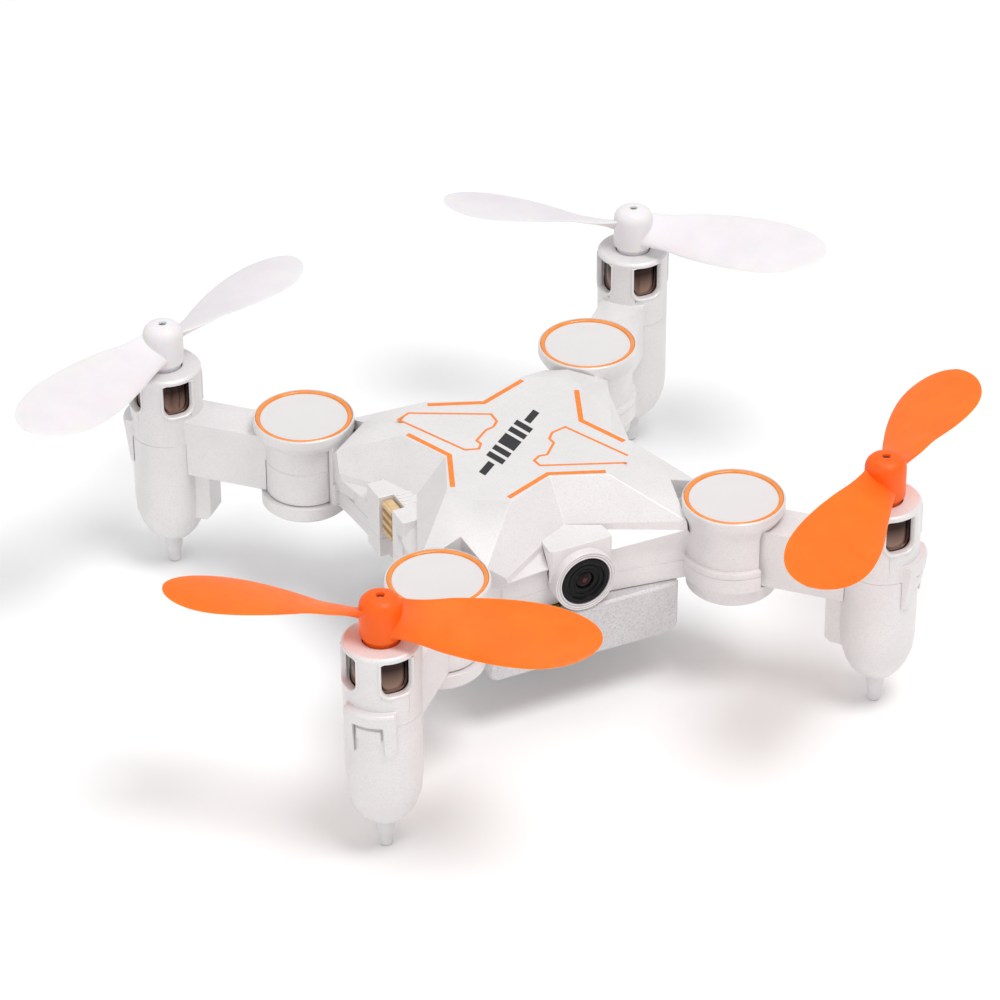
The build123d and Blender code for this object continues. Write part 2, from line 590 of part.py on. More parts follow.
def motor_leads():
    """Two insulated leads that leave the hinge, run inside the beam and drop into the lead duct."""
    leads = []
    for y in (-0.5, 0.5):
        x, z = ARM_LENGTH - LEAD_DROP, RING_Z - 7.6
        path = FilletPolyline((4.6, y, z), (x, y, z), (x, y, LEAD_END), radius=1.2)
        leads.append(sweep(Plane(origin=path @ 0, z_dir=path % 0) * Circle(0.4), path))
    return Compound(leads)


def foot():
    """Soft pin with a rounded tip and a peg in the end of the cup."""
    pin = turned(
        (0, 0),
        (FOOT_TIP_R - 0.4, 0),
        (FOOT_TIP_R - 0.1, 0.15),
        (FOOT_TIP_R, 0.5),
        (FOOT_TIP_R, 1.5),
        (FOOT_R, 2.6),
        (FOOT_R, FOOT_TOP),
        (FOOT_PEG_R, FOOT_TOP),
        (FOOT_PEG_R, FOOT_TOP + 1.8),
        (0, FOOT_TOP + 1.8),
    )
    return Pos(ARM_LENGTH, 0, 0) * pin


# ---- propellers, about the motor axis, first blade along +X ----
def chord(t):
    """Width of the blade at fraction t of its radius: a narrow root, a full belly and a round tip."""
    body = 4.8 + 5.2 * math.sin(math.pi / 2 * min(1, (t - 0.08) / 0.6)) ** 1.4
    tip = math.sqrt(max(0.0, 1 - ((t - 0.68) / 0.325) ** 2)) if t > 0.68 else 1.0
    return body * tip


def blade(hand):
    """One twisted blade as slices joined by ruled faces."""
    slices = []
    for t in (0.05, 0.14, 0.24, 0.36, 0.5, 0.64, 0.76, 0.86, 0.93, 0.97, 1.0):
        width = chord(max(t, 0.08)) / 2
        pitch = math.degrees(math.atan(0.14 / max(t, 0.3)))
        thick = BLADE_THICK * (1 - 0.45 * t) / 2
        face = Plane.YZ * make_face(
            Polyline((-width, 0), (-width * 0.5, -thick), (width * 0.5, -thick), (width, 0),
                     (width * 0.5, thick), (-width * 0.5, thick), close=True)
        )
        slices.append(Pos(BLADE_R * t, 0, BLADE_Z) * Rot(hand * pitch, 0, 0) * face)
    return loft(slices, ruled=True)


def propeller(hand):
    hub = turned(
        (0, HUB_BOTTOM),
        (HUB_NECK_R, HUB_BOTTOM),
        (HUB_NECK_R, HUB_SHOULDER),
        (HUB_R, HUB_SHOULDER + 0.4),
        (HUB_R, HUB_TOP - 1.2),
        (HUB_R * 0.8, HUB_TOP - 0.4),
        (HUB_R * 0.45, HUB_TOP),
        (0, HUB_TOP),
    )
    body = hub + blade(hand) + Rot(0, 0, 180) * blade(hand)
    return body - cylinder(SHAFT_R, HUB_BOTTOM - 1, SHAFT_TOP)


def motor_shaft():
    return cylinder(SHAFT_R, SHAFT_BOTTOM, SHAFT_TOP)


# ---- write every sub-part ----
def save(name, solid):
    export_step(solid, f"parts/{name}.step")


save("upper_shell", upper_shell())
save("lower_shell", lower_shell())
save("main_board", main_board())
save("board_chips", board_chips())
save("antenna", antenna())
save("charge_socket", charge_socket())
save("camera_barrel", camera_barrel())
save("camera_lens", camera_lens())
save("camera_module", camera_module())
save("hinge_screws", hinge_screws())
save("shell_screws", shell_screws())
save("battery_case", battery_case())
save("battery_cell", battery_cell())
save("battery_contacts", battery_contacts())

ARM_PARTS = {
    "hinge_cap": hinge_cap,
    "hinge_ring": hinge_ring,
    "arm_upper": arm_upper,
    "arm_lower": arm_lower,
    "motor_can": motor_can,
    "motor_end_cap": motor_end_cap,
    "motor_leads": motor_leads,
    "foot": foot,
}
for kind, make in ARM_PARTS.items():
    solid = make()
    for corner in ARMS:
        save(f"{kind}_{corner}", at_hinge(corner, solid))

for corner, (phase, hand) in ROTORS.items():
    x = math.copysign(MOTOR, ARMS[corner][0])
    y = math.copysign(MOTOR, ARMS[corner][1])
    save(f"propeller_{corner}", Pos(x, y, 0) * Rot(0, 0, phase) * propeller(hand))
    save(f"motor_shaft_{corner}", Pos(x, y, 0) * motor_shaft())
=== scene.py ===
"""Folding palm-sized camera quadcopter: its looks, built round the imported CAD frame."""
import json
import math

import bmesh
import bpy
from mathutils import Matrix, Vector


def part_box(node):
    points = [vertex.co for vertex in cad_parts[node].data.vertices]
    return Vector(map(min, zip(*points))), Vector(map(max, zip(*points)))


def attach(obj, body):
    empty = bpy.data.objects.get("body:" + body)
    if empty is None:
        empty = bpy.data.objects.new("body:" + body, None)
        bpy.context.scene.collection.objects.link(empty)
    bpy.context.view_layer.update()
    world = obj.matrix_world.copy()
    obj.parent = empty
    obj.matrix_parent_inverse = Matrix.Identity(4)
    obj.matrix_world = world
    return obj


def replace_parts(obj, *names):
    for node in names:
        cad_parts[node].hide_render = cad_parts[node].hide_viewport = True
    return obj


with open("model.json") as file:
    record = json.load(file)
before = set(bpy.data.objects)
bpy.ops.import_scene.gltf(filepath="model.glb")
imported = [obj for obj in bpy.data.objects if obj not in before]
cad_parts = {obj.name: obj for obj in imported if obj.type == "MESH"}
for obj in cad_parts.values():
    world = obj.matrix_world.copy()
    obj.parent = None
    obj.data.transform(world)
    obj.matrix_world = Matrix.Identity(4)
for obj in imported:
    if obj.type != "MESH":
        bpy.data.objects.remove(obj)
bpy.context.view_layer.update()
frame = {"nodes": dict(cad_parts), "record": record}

MM = 0.001
CORNERS = ("fl", "fr", "bl", "br")

# edge rounding, in millimetres and degrees
SHELL_EDGE = 0.08
BATTERY_EDGE = 0.1
PLUG_EDGE = 0.05
RIB_EDGE = 0.04
SHARP_ANGLE = 28  # edges sharper than this are rounded
FLAT_ANGLE = 0.6  # neighbouring faces within this become one
EVEN_WEIGHT = 80
WELD_GAP = 1e-5


# ---- places, read from the frame, in millimetres ----
def low(node):
    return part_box(node)[0] / MM


def high(node):
    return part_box(node)[1] / MM


def middle(node):
    return (low(node) + high(node)) / 2


RING_Z = high("hinge_ring_fl").z
DECK_Z = high("upper_shell").z
HINGE = {c: middle(f"hinge_cap_{c}") for c in CORNERS}
MOTOR = {c: middle(f"motor_can_{c}") for c in CORNERS}
POD_R = 4.45  # motor holder
CAP_R = high("hinge_cap_fl").x - HINGE["fl"].x
BAND_R = high("hinge_ring_fl").x - HINGE["fl"].x
LENS = middle("camera_barrel")
LENS_FRONT = low("camera_barrel").y
SOCKET_LOW, SOCKET_HIGH = low("charge_socket"), high("charge_socket")


def arm_angle(corner):
    way = MOTOR[corner] - HINGE[corner]
    return math.atan2(way.y, way.x)


def at(x, y, z=0.0, turn=0.0):
    """Placement at a point in millimetres, turned about Z."""
    return Matrix.Translation(Vector((x, y, z)) * MM) @ Matrix.Rotation(turn, 4, "Z")


def at_motor(corner, turn=0.0):
    return at(MOTOR[corner].x, MOTOR[corner].y, 0, arm_angle(corner) + turn)


def at_lens():
    """Placement with +Z of the piece along the view of the camera, which is -Y."""
    return Matrix.Translation(Vector((0, LENS_FRONT, LENS.z)) * MM) @ Matrix.Rotation(math.pi / 2, 4, "X")


# ---- outlines ----
def rounded(points, closed=True, steps=5):
    """Outline from (x, y) or (x, y, radius) points, with arcs at the corners that have a radius."""
    count, outline = len(points), []
    for i, point in enumerate(points):
        here = Vector(point[:2])
        radius = point[2] if len(point) > 2 else 0
        if radius <= 0 or (not closed and i in (0, count - 1)):
            outline.append(here)
            continue
        back = (Vector(points[i - 1][:2]) - here).normalized()
        ahead = (Vector(points[(i + 1) % count][:2]) - here).normalized()
        half = back.angle(ahead) / 2
        reach = radius / math.tan(half)
        centre = here + (back + ahead).normalized() * (radius / math.sin(half))
        start, end = here + back * reach - centre, here + ahead * reach - centre
        sweep = start.angle_signed(end)
        for k in range(steps + 1):
            outline.append(centre + Matrix.Rotation(-sweep * k / steps, 2) @ start)
    return outline


def rectangle(x0, x1, y0, y1, radii=(0, 0, 0, 0), steps=5):
    """Rounded rectangle, anticlockwise from its low corner."""
    corners = [(x0, y0), (x1, y0), (x1, y1), (x0, y1)]
    return rounded([(*c, max(r, 1e-3)) for c, r in zip(corners, radii)], steps=steps)


# ---- meshes ----
def finished(name, bm, placement, look, body, edge=0.0, smooth_angle=40):
    """Turns a bmesh in millimetres into a piece that rides on a body."""
    bmesh.ops.remove_doubles(bm, verts=bm.verts, dist=WELD_GAP)
    bmesh.ops.recalc_face_normals(bm, faces=bm.faces)
    bmesh.ops.scale(bm, vec=(MM, MM, MM), verts=bm.verts)
    mesh = bpy.data.meshes.new(name)
    bm.to_mesh(mesh)
    bm.free()
    mesh.materials.append(look)
    mesh.shade_smooth()
    mesh.set_sharp_from_angle(angle=math.radians(smooth_angle))
    piece = bpy.data.objects.new(name, mesh)
    bpy.context.scene.collection.objects.link(piece)
    piece.matrix_world = placement
    if edge:
        round_edges(piece, edge)
    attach(piece, body)
    return piece


def round_edges(piece, edge, segments=2):
    """Rounds the sharp edges by edge millimetres and evens the shading."""
    bevel = piece.modifiers.new("rounded edges", "BEVEL")
    bevel.width = edge * MM
    bevel.segments = segments
    bevel.limit_method = "ANGLE"
    bevel.angle_limit = math.radians(SHARP_ANGLE)
    bevel.use_clamp_overlap = False
    even = piece.modifiers.new("even shading", "WEIGHTED_NORMAL")
    even.keep_sharp = False
    even.weight = EVEN_WEIGHT


def add_lathe(bm, profile, segments=72):
    """Adds a surface turned about Z from (radius, height) points."""
    rings = []
    for r, z in profile:
        if r < 1e-6:
            rings.append([bm.verts.new((0, 0, z))])
            continue
        ring = []
        for k in range(segments):
            a = 2 * math.pi * k / segments
            ring.append(bm.verts.new((r * math.cos(a), r * math.sin(a), z)))
        rings.append(ring)
    for one, two in zip(rings, rings[1:]):
        for k in range(segments):
            quad = [one[k % len(one)], one[(k + 1) % len(one)], two[(k + 1) % len(two)], two[k % len(two)]]
            unique = [v for i, v in enumerate(quad) if v not in quad[:i]]
            if len(unique) > 2:
                bm.faces.new(unique)


def lathe(name, points, placement, look, body, closed=False, segments=72, smooth_angle=40):
    """A turned piece from (radius, height, fillet) points."""
    profile = [tuple(p) for p in rounded(points, closed=closed)]
    if closed:
        profile.append(profile[0])
    bm = bmesh.new()
    add_lathe(bm, profile, segments)
    return finished(name, bm, placement, look, body, smooth_angle=smooth_angle)


def add_prism(bm, outline, z0, z1):
    """Adds a straight prism over an outline."""
    bottom = [bm.verts.new((p[0], p[1], z0)) for p in outline]
    top = [bm.verts.new((p[0], p[1], z1)) for p in outline]
    bm.faces.new(bottom[::-1])
    bm.faces.new(top)
    for k in range(len(outline)):
        n = (k + 1) % len(outline)
        bm.faces.new((bottom[k], bottom[n], top[n], top[k]))


def united(solids, operation="UNION"):
    """One bmesh from closed solids: the first joined with, or cut by, the others."""
    objects = []
    for solid in solids:
        bmesh.ops.remove_doubles(solid, verts=solid.verts, dist=WELD_GAP)
        bmesh.ops.recalc_face_normals(solid, faces=solid.faces)
        mesh = bpy.data.meshes.new("solid")
        solid.to_mesh(mesh)
        solid.free()
        objects.append(bpy.data.objects.new("solid", mesh))
        bpy.context.scene.collection.objects.link(objects[-1])
    for other in objects[1:]:
        join = objects[0].modifiers.new("union", "BOOLEAN")
        join.operation, join.solver, join.object = operation, "EXACT", other
    graph = bpy.context.evaluated_depsgraph_get()
    bm = bmesh.new()
    bm.from_mesh(objects[0].evaluated_get(graph).to_mesh())
    for solid in objects:
        bpy.data.objects.remove(solid)
    return bm


def add_stroke(bm, points, width, z0, z1, closed):
    """A raised line of even width with mitred corners."""
    points = [Vector(p) for p in points]
    count, rows = len(points), []
    for i, here in enumerate(points):
        back = points[i - 1] if closed or i else None
        ahead = points[(i + 1) % count] if closed or i < count - 1 else None
        ways = [(here - back).normalized()] if back is not None else []
        ways += [(ahead - here).normalized()] if ahead is not None else []
        normals = [Vector((-w.y, w.x)) for w in ways]
        mitre = (normals[0] + normals[-1]).normalized()
        reach = mitre * (width / 2 / max(0.35, mitre.dot(normals[0])))
        left, right = here + reach, here - reach
        rows.append([bm.verts.new((*p, z)) for p, z in ((left, z0), (left, z1), (right, z1), (right, z0))])
    for i in range(count if closed else count - 1):
        one, two = rows[i], rows[(i + 1) % count]
        for k in range(4):
            n = (k + 1) % 4
            bm.faces.new((one[k], one[n], two[n], two[k]))
    if not closed:
        bm.faces.new(rows[0])
        bm.faces.new(rows[-1][::-1])


# ---- materials ----
class Look:
    """A principled material with helpers for its procedural detail."""

    def __init__(self, name, **sockets):
        self.material = bpy.data.materials.new(name)
        self.material.use_nodes = True
        self.nodes = self.material.node_tree.nodes
        self.links = self.material.node_tree.links
        self.shader = self.nodes["Principled BSDF"]
        for socket, value in sockets.items():
            self.shader.inputs[socket.replace("_", " ")].default_value = value
        self.place = self.nodes.new("ShaderNodeTexCoord").outputs["Object"]

    def noise(self, size, detail=2.0, roughness=0.5):
        """Grey noise with features of about size millimetres."""
        node = self.nodes.new("ShaderNodeTexNoise")
        node.inputs["Scale"].default_value = 1 / (size * MM)
        node.inputs["Detail"].default_value = detail
        node.inputs["Roughness"].default_value = roughness
        self.links.new(self.place, node.inputs["Vector"])
        return node.outputs["Fac"]

    def cells(self, size):
        """Random grey per flake of about size millimetres."""
        node = self.nodes.new("ShaderNodeTexVoronoi")
        node.inputs["Scale"].default_value = 1 / (size * MM)
        self.links.new(self.place, node.inputs["Vector"])
        split = self.nodes.new("ShaderNodeSeparateColor")
        self.links.new(node.outputs["Color"], split.inputs["Color"])
        return split.outputs["Red"]

    def stretched(self, factors):
        node = self.nodes.new("ShaderNodeVectorMath")
        node.operation = "MULTIPLY"
        node.inputs[1].default_value = factors
        self.links.new(self.place, node.inputs[0])
        self.place = node.outputs[0]

    def radius(self):
        """Distance from the piece's own Z axis, in metres."""
        flat = self.nodes.new("ShaderNodeVectorMath")
        flat.operation = "MULTIPLY"
        flat.inputs[1].default_value = (1, 1, 0)
        self.links.new(self.place, flat.inputs[0])
        size = self.nodes.new("ShaderNodeVectorMath")
        size.operation = "LENGTH"
        self.links.new(flat.outputs[0], size.inputs[0])
        return size.outputs["Value"]

    def height(self):
        split = self.nodes.new("ShaderNodeSeparateXYZ")
        self.links.new(self.place, split.inputs["Vector"])
        return split.outputs["Z"]

    def span(self, value, from_low, from_high, to_low, to_high):
        node = self.nodes.new("ShaderNodeMapRange")
        for i, number in enumerate((from_low, from_high, to_low, to_high)):
            node.inputs[i + 1].default_value = number
        self.links.new(value, node.inputs[0])
        return node.outputs["Result"]

    def mix(self, share, one, two):
        node = self.nodes.new("ShaderNodeMix")
        node.data_type = "RGBA"
        self.links.new(share, node.inputs["Factor"])
        for socket, value in ((node.inputs[6], one), (node.inputs[7], two)):
            if isinstance(value, tuple):
                socket.default_value = (*value, 1)
            else:
                self.links.new(value, socket)
        return node.outputs[2]

    def drive(self, socket, value):
        self.links.new(value, self.shader.inputs[socket])

    def bump(self, height, distance, strength=1.0):
        """Relief of distance millimetres from a grey height."""
        node = self.nodes.new("ShaderNodeBump")
        node.inputs["Distance"].default_value = distance * MM
        node.inputs["Strength"].default_value = strength
        self.links.new(height, node.inputs["Height"])
        self.links.new(node.outputs["Normal"], self.shader.inputs["Normal"])


def painted(name, light, dark, flake_size, flake_share, metal, roughness, coat=0.0):
    """Silvery paint: flakes of two tones, soft blotches, a fine grain."""
    look = Look(name, Metallic=metal, Coat_Weight=coat, Coat_Roughness=0.2)
    flakes = look.span(look.cells(flake_size), 1 - flake_share, 1, 0, 1)
    tone = look.mix(look.span(look.noise(5, 3), 0.35, 0.65, 0, 0.35), light, dark)
    look.drive("Base Color", look.mix(flakes, tone, dark))
    look.drive("Roughness", look.span(look.noise(0.4, 2), 0.3, 0.7, roughness - 0.06, roughness + 0.08))
    look.bump(look.noise(0.25, 2), 0.006)
    return look.material


def moulded(name, one, two, roughness, size=1.5, grain=0.004, **sockets):
    """Plain moulded plastic with faint flow marks and an uneven gloss."""
    look = Look(name, **sockets)
    look.drive("Base Color", look.mix(look.span(look.noise(size, 3), 0.35, 0.65, 0, 1), one, two))
    look.drive("Roughness", look.span(look.noise(0.8, 3), 0.3, 0.7, roughness - 0.04, roughness + 0.06))
    look.bump(look.noise(0.3, 2), grain)
    return look.material


HUB_TONE_R, BLADE_TONE_R = 2.2, 6.0  # the hub's colour fades out between these radii


def blade_plastic(name, one, two, hub):
    """Thin propeller plastic that deepens in colour towards its thick hub."""
    look = Look(
        name, Subsurface_Weight=0.3, Subsurface_Radius=(1, 0.35, 0.12), Subsurface_Scale=0.0012,
        Specular_IOR_Level=0.3)
    tone = look.mix(look.span(look.noise(4, 3), 0.35, 0.65, 0, 1), one, two)
    near_hub = look.span(look.radius(), HUB_TONE_R * MM, BLADE_TONE_R * MM, 1, 0)
    look.drive("Base Color", look.mix(near_hub, tone, hub))
    look.drive("Roughness", look.span(look.noise(1.2, 3), 0.3, 0.7, 0.36, 0.46))
    look.bump(look.noise(0.35, 2), 0.004)
    return look.material


CAN_PAINTED_REFLECTION, CAN_PAINTED_SHADE = -1.4, 1.6  # heights over the rings between which the painted reflection on the can fades into painted shade


def polished_can():
    """Nickel plate painted dark: a painted reflection near the rings fades into painted shade towards its
    closed top.
    """
    look = Look("motor can", Metallic=1.0)
    # painted light: the colour runs from a light painted reflection low on the can to a dark painted shade at
    # its top
    rise = look.span(look.height(), (RING_Z + CAN_PAINTED_REFLECTION) * MM, (RING_Z + CAN_PAINTED_SHADE) * MM, 0, 1)
    look.drive("Base Color", look.mix(rise, (0.30, 0.19, 0.15), (0.035, 0.022, 0.02)))
    look.drive("Roughness", look.span(look.noise(0.8, 3), 0.3, 0.7, 0.08, 0.14))
    look.bump(look.noise(0.5, 2), 0.001)
    return look.material


def drawn_metal(name, one, two, roughness):
    """Drawn wire: streaks along its axis."""
    look = Look(name, Metallic=1.0)
    look.stretched((1, 1, 0.05))
    streaks = look.noise(0.5, 3)
    look.drive("Base Color", look.mix(look.span(streaks, 0.3, 0.7, 0, 1), one, two))
    look.drive("Roughness", look.span(streaks, 0.3, 0.7, roughness - 0.05, roughness + 0.08))
    look.bump(streaks, 0.002)
    return look.material


SHELL = painted("pearl shell", (0.80, 0.775, 0.775), (0.70, 0.68, 0.685), 0.09, 0.3, 0.15, 0.40, 0.2)
SILVER = painted("silver battery", (0.68, 0.67, 0.68), (0.53, 0.52, 0.53), 0.14, 0.5, 0.3, 0.46, 0.1)
DISC = painted("hinge disc", (0.74, 0.72, 0.72), (0.70, 0.68, 0.685), 0.1, 0.05, 0.05, 0.38, 0.2)
ORANGE = moulded(
    "orange ring", (0.93, 0.29, 0.03), (0.86, 0.24, 0.02), 0.2, Coat_Weight=0.6, Coat_Roughness=0.06)
PRINT = moulded("orange print", (0.90, 0.25, 0.03), (0.84, 0.21, 0.02), 0.4, size=0.6)
INK = moulded("dark print", (0.012, 0.012, 0.014), (0.02, 0.02, 0.024), 0.42, size=0.6)
ORANGE_BLADE = blade_plastic("orange blade", (1.0, 0.18, 0.008), (0.98, 0.16, 0.006), (0.96, 0.125, 0.005))
WHITE_BLADE = blade_plastic("white blade", (0.78, 0.76, 0.79), (0.75, 0.73, 0.76), (0.80, 0.78, 0.795))
FROSTED = moulded(
    "frosted foot", (0.84, 0.83, 0.84), (0.79, 0.78, 0.79), 0.34,
    Transmission_Weight=0.12, Subsurface_Weight=0.2, Subsurface_Scale=0.001)
CAN = polished_can()
SHAFT = drawn_metal("steel", (0.55, 0.55, 0.56), (0.42, 0.42, 0.43), 0.26)
BLACK = moulded("gloss black", (0.004, 0.004, 0.005), (0.007, 0.007, 0.008), 0.36, Specular_IOR_Level=0.16)
BEIGE = moulded("nylon connector", (0.70, 0.50, 0.27), (0.62, 0.43, 0.22), 0.45, size=0.8)
NYLON = moulded("white nylon", (0.78, 0.76, 0.72), (0.72, 0.70, 0.66), 0.5)
BOARD = moulded("circuit board", (0.012, 0.09, 0.04), (0.02, 0.12, 0.055), 0.35, size=0.5)
CHIP = moulded("chip", (0.015, 0.015, 0.016), (0.03, 0.03, 0.032), 0.55, size=0.3)
WIRE = moulded("lead insulation", (0.5, 0.03, 0.02), (0.4, 0.02, 0.015), 0.4, size=0.5)
WRAP = painted("cell wrap", (0.48, 0.5, 0.53), (0.4, 0.42, 0.45), 0.3, 0.2, 0.6, 0.35)
BRASS = moulded("brass", (0.70, 0.44, 0.13), (0.6, 0.36, 0.09), 0.28, size=0.5, Metallic=1.0)


PUPIL_R = (0.2 * MM, 0.4 * MM)


def lens_glass():
    """Dark coated glass with a red-brown pupil."""
    look = Look("lens glass", Specular_IOR_Level=0.14)
    pupil = look.span(look.radius(), *PUPIL_R, 1, 0)
    dark = look.mix(look.noise(1.0), (0.006, 0.003, 0.003), (0.010, 0.004, 0.004))
    look.drive("Base Color", look.mix(pupil, dark, (0.09, 0.022, 0.018)))
    look.drive("Roughness", look.span(look.noise(0.6), 0.3, 0.7, 0.04, 0.09))
    return look.material


GLASS = lens_glass()

SLOT_LOOKS = {
    "pearl_shell": SHELL, "orange_plastic": ORANGE, "orange_prop": ORANGE_BLADE,
    "white_prop": WHITE_BLADE, "clear_foot": FROSTED, "motor_metal": CAN, "gloss_black": BLACK,
    "lens_glass": GLASS, "silver_battery": SILVER, "cell_wrap": WRAP, "brass_contact": BRASS,
    "nylon_connector": BEIGE, "white_nylon": NYLON, "circuit_board": BOARD, "chip_black": CHIP,
    "lead_wire": WIRE, "steel_screw": SHAFT,
}
ROUNDED_NODES = {"upper_shell": SHELL_EDGE, "lower_shell": SHELL_EDGE, "battery_case": BATTERY_EDGE}
for corner in CORNERS:
    ROUNDED_NODES[f"arm_upper_{corner}"] = SHELL_EDGE
    ROUNDED_NODES[f"arm_lower_{corner}"] = SHELL_EDGE

for part in frame["record"]["subparts"]:
    node = frame["nodes"][part["node"]]
    node.data.materials.clear()
    node.data.materials.append(SLOT_LOOKS[part["material_slot"]])
    node.data.shade_smooth()
    weld = node.modifiers.new("one skin", "WELD")
    weld.merge_threshold = 1e-6
    if part["node"] in ROUNDED_NODES:
        flat = node.modifiers.new("whole faces", "DECIMATE")
        flat.decimate_type = "DISSOLVE"
        flat.angle_limit = math.radians(FLAT_ANGLE)
        round_edges(node, ROUNDED_NODES[part["node"]])


# ---- hinge discs ----
DISC_TOP, DISC_DISH, DISC_BOTTOM = RING_Z - 0.2, RING_Z - 0.24, RING_Z - 0.6
DISC_PROFILE = [
    (0, DISC_DISH), (CAP_R - 0.6, DISC_DISH, 0.5), (CAP_R - 0.25, DISC_TOP, 0.2),
    (CAP_R, DISC_TOP, 0.08), (CAP_R, DISC_BOTTOM), (0, DISC_BOTTOM),
]
BAND_PROFILE = [(CAP_R, DISC_BOTTOM), (CAP_R, RING_Z, 0.22), (BAND_R, RING_Z, 0.22), (BAND_R, DISC_BOTTOM)]
for corner in CORNERS:
    spot = at(HINGE[corner].x, HINGE[corner].y)
    cap = lathe(f"hinge_disc_{corner}", DISC_PROFILE, spot, DISC, "airframe")
    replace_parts(cap, f"hinge_cap_{corner}")
    ring = lathe(
        f"hinge_band_{corner}", BAND_PROFILE, spot, ORANGE, "airframe",
        closed=True, segments=96)
    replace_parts(ring, f"hinge_ring_{corner}")


# ---- prints on the deck ----
PRINT_LOW, PRINT_HIGH = DECK_Z - 0.01, DECK_Z + 0.025
FIGURE_WIDTH, CHEVRON_WIDTH = 0.3, 0.62
CHEVRON = ((11.25, -6.34), (8.7, 0), (11.25, 6.34))
LEFT_FIGURE = [
    (-10.88, 9.76), (-9.17, 10.55), (-0.36, 6.0), (-0.43, 4.27), (-1.36, 3.32),
    (-2.43, 3.08), (-4.46, 1.47), (-4.27, 0.62), (-4.96, -0.28), (-6.54, 0.24),
]
RIGHT_FIGURE = [
    (10.24, -9.32), (6.37, -0.45), (4.44, -0.86), (3.52, -1.93), (3.6, -2.98),
    (1.77, -4.94), (0.77, -4.8), (-0.2, -5.41), (-0.04, -6.71), (9.42, -10.65),
]
lines = bmesh.new()
add_stroke(lines, LEFT_FIGURE, FIGURE_WIDTH, PRINT_LOW, PRINT_HIGH, True)
add_stroke(lines, RIGHT_FIGURE, FIGURE_WIDTH, PRINT_LOW, PRINT_HIGH, False)
for turn in range(4):
    spin = Matrix.Rotation(math.pi / 2 * turn, 2)
    chevron = [spin @ Vector(p) for p in CHEVRON]
    add_stroke(lines, chevron, CHEVRON_WIDTH, PRINT_LOW, PRINT_HIGH, False)
finished("deck_lines", lines, at(0, 0), PRINT, "airframe")

# a row of slanted bars: start along the row, width and height of each
BARS = (
    (0, 2.6, 1.0), (3.3, 1.0, 2.6), (4.9, 1.0, 2.6), (6.5, 2.2, 2.6),
    (9.3, 1.0, 2.6), (10.9, 1.0, 2.6), (12.5, 2.6, 1.0),
)
BAR_ROW = Vector((-5.7, -4.3))
BAR_SHIFT, BAR_LEAN = 1.6, 0.2
BAR_WAY = Vector((7.6 + 7.1, 5.6 + 6.3)).normalized()
BAR_UP = Vector((-BAR_WAY.y, BAR_WAY.x))
bars = bmesh.new()
for start, width, tall in BARS:
    foot_at = BAR_ROW + BAR_WAY * (start - BAR_SHIFT) - BAR_UP * (tall / 2)
    lean = BAR_WAY * (tall * BAR_LEAN)
    far_foot = foot_at + BAR_WAY * width
    top = BAR_UP * tall + lean
    outline = [foot_at - lean, far_foot - lean, far_foot + top, foot_at + top]
    add_prism(bars, outline, PRINT_LOW, PRINT_HIGH)
finished("deck_bars", bars, at(0, 0), INK, "airframe")


# ---- camera ----
# (radius, depth, fillet) profiles, with depth 0 at the front of the barrel
BARREL_PROFILE = [
    (0, -3.4), (3.12, -3.4), (3.12, 0.0, 0.3), (2.45, 0.0, 0.1), (2.35, -0.28, 0.05), (2.1, -0.28, 0.05),
    (2.05, -0.18, 0.04), (1.85, -0.18, 0.04), (1.8, -0.4, 0.05), (1.45, -0.4, 0.05), (1.4, -0.32, 0.04),
    (1.2, -0.32, 0.05), (1.1, -0.8), (0, -0.8),
]
GLASS_PROFILE = [(1.16, -0.9), (1.16, -0.6), (0.95, -0.47), (0.7, -0.38), (0.35, -0.32), (0, -0.3)]
BEZEL_PROFILE = [
    (3.14, -1.2), (3.14, -0.02, 0.08), (3.3, -0.02, 0.08), (3.34, -0.24, 0.04), (3.44, -0.24, 0.04),
    (3.48, -0.02, 0.06), (3.62, -0.02, 0.06), (3.66, -0.2, 0.03), (3.74, -0.2, 0.03), (3.78, 0.0, 0.05),
    (3.92, -0.02, 0.1), (3.95, -1.4),
]
barrel = lathe("camera_ring", BARREL_PROFILE, at_lens(), BLACK, "airframe")
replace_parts(barrel, "camera_barrel")
glass = lathe("camera_glass", GLASS_PROFILE, at_lens(), GLASS, "airframe")
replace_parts(glass, "camera_lens")
lathe("camera_bezel", BEZEL_PROFILE, at_lens(), SHELL, "airframe", closed=True)


# ---- motors, shafts and feet ----
CAN_LOW, CAN_HIGH = low("motor_can_fl").z, high("motor_can_fl").z
CAN_STEP, CAN_SHOULDER, CAN_DISH = CAN_LOW + 1.4, CAN_HIGH - 0.25, CAN_HIGH - 0.4
CAN_PROFILE = [
    (0, CAN_LOW), (2.95, CAN_LOW, 0.2), (2.95, CAN_STEP), (3.5, CAN_STEP, 0.1), (3.5, CAN_SHOULDER, 0.45),
    (2.0, CAN_SHOULDER, 0.1), (1.9, CAN_DISH, 0.1), (1.35, CAN_DISH, 0.05), (1.3, CAN_HIGH, 0.08),
    (0.6, CAN_HIGH, 0.05), (0.56, CAN_HIGH - 0.3), (0, CAN_HIGH - 0.3),
]
SPIGOT = 1.8  # length of foot pin inside the motor holder
FOOT_HIGH = high("foot_fl").z - SPIGOT
PIN_PROFILE = [
    (0, 0.0), (0.85, 0.0, 0.5), (0.85, 1.5, 1.0), (1.07, 2.5, 1.0), (1.07, FOOT_HIGH - 0.25, 0.1),
    (1.2, FOOT_HIGH, 0.05), (0.8, FOOT_HIGH), (0.8, FOOT_HIGH + SPIGOT), (0, FOOT_HIGH + SPIGOT),
]
